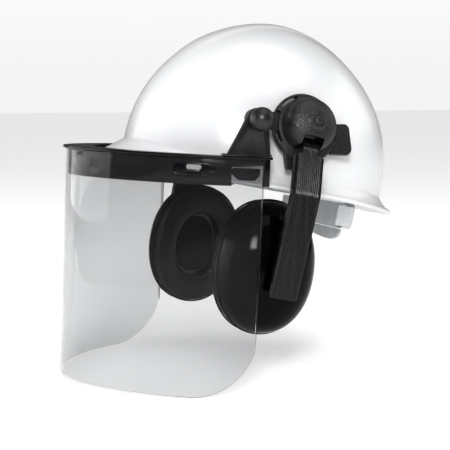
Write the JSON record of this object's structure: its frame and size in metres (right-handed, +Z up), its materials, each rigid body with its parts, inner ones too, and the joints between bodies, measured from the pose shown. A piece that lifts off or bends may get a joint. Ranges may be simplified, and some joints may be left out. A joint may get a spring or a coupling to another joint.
{
  "type": "arborist helmet",
  "caption": "Hard cap with a tipping clear face shield on clamp knobs, swinging ear muffs on ribbed arms, and an inner headband with a nape ratchet.",
  "frame": {"origin": "middle of the headband, on the wearer's head axis", "axes": "+Z up as worn, the wearer faces -Y, the wearer's left is +X"},
  "size_m": [0.267, 0.3114, 0.3057],
  "materials": {
    "shell_white": "smooth moulded polyethylene, glossy",
    "gloss_black": "polished moulded plastic",
    "grained_black": "fine leather-like mould grain",
    "satin_black": "satin moulded nylon",
    "clear_sheet": "clear polycarbonate sheet",
    "pale_nylon": "translucent pale moulded plastic",
    "webbing": "woven polyester webbing",
    "brow_foam": "brushed textile over foam",
    "cushion_skin": "soft vinyl skin over foam",
    "liner_foam": "open cell foam",
    "steel": "plated steel"
  },
  "bodies": {
    "helmet": {"shell": "shell_white", "headband": "pale_nylon", "brow_pad": "brow_foam", "suspension_key_FL": "pale_nylon", "suspension_key_FR": "pale_nylon", "suspension_key_RR": "pale_nylon", "suspension_key_RL": "pale_nylon", "crown_strap_FL_RR": "webbing", "crown_strap_FR_RL": "webbing", "crown_pad": "brow_foam", "ratchet_housing": "pale_nylon", "nape_pad": "pale_nylon", "slot_adapter_L": "satin_black", "mount_disc_L": "grained_black", "cap_screw_L": "grained_black", "visor_link_L": "grained_black", "pivot_bolt_L": "steel", "slot_adapter_R": "satin_black", "mount_disc_R": "grained_black", "cap_screw_R": "grained_black", "visor_link_R": "grained_black", "pivot_bolt_R": "steel"},
    "visor": {"visor_frame": "satin_black", "visor_sheet": "clear_sheet", "visor_gusset_L": "grained_black", "visor_gusset_R": "grained_black"},
    "ratchet": {"ratchet_pinion": "pale_nylon", "ratchet_knob": "pale_nylon"},
    "nape_strap_L": {"nape_strap_L": "pale_nylon"},
    "nape_strap_R": {"nape_strap_R": "pale_nylon"},
    "visor_knob_L": {"visor_knob_L": "grained_black"},
    "swivel_L": {"swivel_cap_L": "grained_black", "arm_pin_L": "steel", "arm_spring_L": "steel"},
    "arm_L": {"muff_arm_L": "satin_black"},
    "slider_L": {"cup_slider_L": "satin_black"},
    "cup_L": {"cup_shell_L": "gloss_black", "cup_plate_L": "satin_black", "ear_cushion_L": "cushion_skin", "foam_liner_L": "liner_foam"},
    "visor_knob_R": {"visor_knob_R": "grained_black"},
    "swivel_R": {"swivel_cap_R": "grained_black", "arm_pin_R": "steel", "arm_spring_R": "steel"},
    "arm_R": {"muff_arm_R": "satin_black"},
    "slider_R": {"cup_slider_R": "satin_black"},
    "cup_R": {"cup_shell_R": "gloss_black", "cup_plate_R": "satin_black", "ear_cushion_R": "cushion_skin", "foam_liner_R": "liner_foam"}
  },
  "joints": [
    {"name": "visor_flip", "type": "hinge", "parent": "helmet", "child": "visor", "pos_m": [0, -0.0495, 0.0563], "axis": [-1, 0, 0], "range_deg": [0, 105]},
    {"name": "visor_knob_L_turn", "type": "hinge", "parent": "helmet", "child": "visor_knob_L", "pos_m": [0.1225, -0.0495, 0.0563], "axis": [1, 0, 0], "range_deg": [0, 360]},
    {"name": "muff_swivel_L", "type": "hinge", "parent": "helmet", "child": "swivel_L", "pos_m": [0.0984, -0.0011, 0.0472], "axis": [0.9603, 0, 0.279], "range_deg": [-4, 9]},
    {"name": "arm_fold_L", "type": "hinge", "parent": "swivel_L", "child": "arm_L", "pos_m": [0.11352, -0.00313, 0.04246], "axis": [-0.0628, -0.9744, 0.216], "range_deg": [0, 1.8], "stiffness_Nm_per_rad": 1.2, "springref_deg": -14.32},
    {"name": "cup_height_L", "type": "slide", "parent": "arm_L", "child": "slider_L", "axis": [0.0399, 0.2138, 0.9761], "range_m": [-0.008, 0.004]},
    {"name": "cup_tilt_L", "type": "hinge", "parent": "slider_L", "child": "cup_L", "pos_m": [0.11861, -0.02762, -0.06655], "axis": [0, 1, 0], "range_deg": [-4, 4]},
    {"name": "visor_knob_R_turn", "type": "hinge", "parent": "helmet", "child": "visor_knob_R", "pos_m": [-0.1225, -0.0495, 0.0563], "axis": [-1, 0, 0], "range_deg": [0, 360]},
    {"name": "muff_swivel_R", "type": "hinge", "parent": "helmet", "child": "swivel_R", "pos_m": [-0.0984, -0.0011, 0.0472], "axis": [0.9603, 0, -0.279], "range_deg": [-4, 9]},
    {"name": "arm_fold_R", "type": "hinge", "parent": "swivel_R", "child": "arm_R", "pos_m": [-0.11352, -0.00313, 0.04246], "axis": [-0.0628, 0.9744, -0.216], "range_deg": [0, 1.8], "stiffness_Nm_per_rad": 1.2, "springref_deg": -14.32},
    {"name": "cup_height_R", "type": "slide", "parent": "arm_R", "child": "slider_R", "axis": [-0.0399, 0.2138, 0.9761], "range_m": [-0.008, 0.004]},
    {"name": "cup_tilt_R", "type": "hinge", "parent": "slider_R", "child": "cup_R", "pos_m": [-0.11861, -0.02762, -0.06655], "axis": [0, -1, 0], "range_deg": [-4, 4]},
    {"name": "ratchet_turn", "type": "hinge", "parent": "helmet", "child": "ratchet", "pos_m": [0, 0.08115, -0.03559], "axis": [0, -0.9808, 0.1949], "range_deg": [0, 95]},
    {"name": "nape_strap_L_slide", "type": "slide", "parent": "helmet", "child": "nape_strap_L", "axis": [-1, 0, 0], "range_m": [0, 0.006]},
    {"name": "nape_strap_R_slide", "type": "slide", "parent": "helmet", "child": "nape_strap_R", "axis": [1, 0, 0], "range_m": [0, 0.006]}
  ],
  "couplings": [
    {"joint": "nape_strap_L_slide", "follows": "ratchet_turn", "m_per_rad": 0.0036},
    {"joint": "nape_strap_R_slide", "follows": "ratchet_turn", "m_per_rad": 0.0036}
  ]
}
